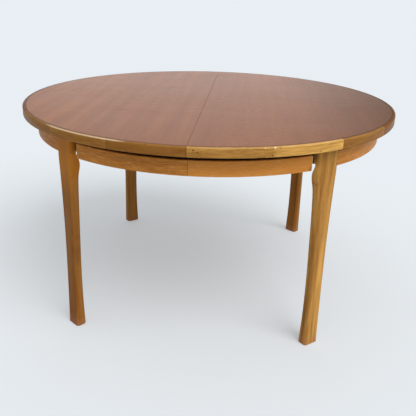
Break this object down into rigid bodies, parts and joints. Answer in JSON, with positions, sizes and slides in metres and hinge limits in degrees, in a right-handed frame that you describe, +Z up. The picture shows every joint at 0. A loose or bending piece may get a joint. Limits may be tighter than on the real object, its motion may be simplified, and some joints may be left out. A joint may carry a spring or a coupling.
{
  "type": "round extending dining table",
  "caption": "Round wooden dining table on four sculpted legs whose top and apron part across the middle and slide open on runners over a folded leaf.",
  "frame": {"origin": "on the floor, under the centre of the closed top", "axes": "+Z up; +X is the way the right half slides open; the seam runs along Y and the front is -Y"},
  "size_m": [1.3308, 1.33, 0.715],
  "materials": {
    "top_veneer": "satin lacquered reddish-brown veneer",
    "lipping_wood": "satin lacquered golden wood",
    "apron_wood": "satin lacquered bent veneer",
    "leg_wood": "satin lacquered solid wood",
    "dark_wood": "dark stained softwood",
    "core_board": "raw chipboard",
    "softwood": "planed softwood",
    "beech": "planed and waxed beech",
    "steel": "zinc plated",
    "brass": "dull brass"
  },
  "bodies": {
    "left_half": {"top_core_left": "core_board", "top_veneer_left": "top_veneer", "edge_lipping_left": "lipping_wood", "apron_left_front": "apron_wood", "apron_left_back": "apron_wood", "apron_left_side": "apron_wood", "apron_spacer_left_front": "dark_wood", "apron_spacer_left_back": "dark_wood", "apron_spacer_left_side": "dark_wood", "apron_end_strips_left": "lipping_wood", "leg_left_front": "leg_wood", "leg_left_back": "leg_wood", "leg_block_left_front": "softwood", "leg_block_left_back": "softwood", "leg_bolts_left": "steel", "leg_washers_left": "steel", "leg_inserts_left": "brass", "apron_blocks_left": "dark_wood", "bearer_left": "beech", "runner_left_front": "beech", "runner_left_back": "beech", "top_screws_left": "steel", "seam_pegs": "beech"},
    "right_half": {"top_core_right": "core_board", "top_veneer_right": "top_veneer", "edge_lipping_right": "lipping_wood", "apron_right_front": "apron_wood", "apron_right_back": "apron_wood", "apron_right_side": "apron_wood", "apron_spacer_right_front": "dark_wood", "apron_spacer_right_back": "dark_wood", "apron_spacer_right_side": "dark_wood", "apron_end_strips_right": "lipping_wood", "leg_right_front": "leg_wood", "leg_right_back": "leg_wood", "leg_block_right_front": "softwood", "leg_block_right_back": "softwood", "leg_bolts_right": "steel", "leg_washers_right": "steel", "leg_inserts_right": "brass", "apron_blocks_right": "dark_wood", "bearer_right": "beech", "runner_right_front": "beech", "runner_right_back": "beech", "top_screws_right": "steel"},
    "leaf_carriage": {"runner_middle_front": "beech", "runner_middle_back": "beech", "batten_left": "beech", "batten_right": "beech", "batten_screws": "steel", "leaf_panel_lower": "top_veneer", "leaf_panel_upper": "top_veneer", "leaf_end_lower": "lipping_wood", "leaf_end_upper": "lipping_wood", "leaf_hinge_barrels": "brass", "leaf_hinge_links": "brass"}
  },
  "joints": [
    {"name": "right_half_slide", "type": "slide", "parent": "left_half", "child": "right_half", "axis": [1, 0, 0], "range_m": [0, 0.5]},
    {"name": "leaf_carriage_slide", "type": "slide", "parent": "left_half", "child": "leaf_carriage", "axis": [1, 0, 0], "range_m": [0, 0.25]}
  ],
  "couplings": [
    {"joint": "leaf_carriage_slide", "follows": "right_half_slide", "ratio": 0.5}
  ]
}
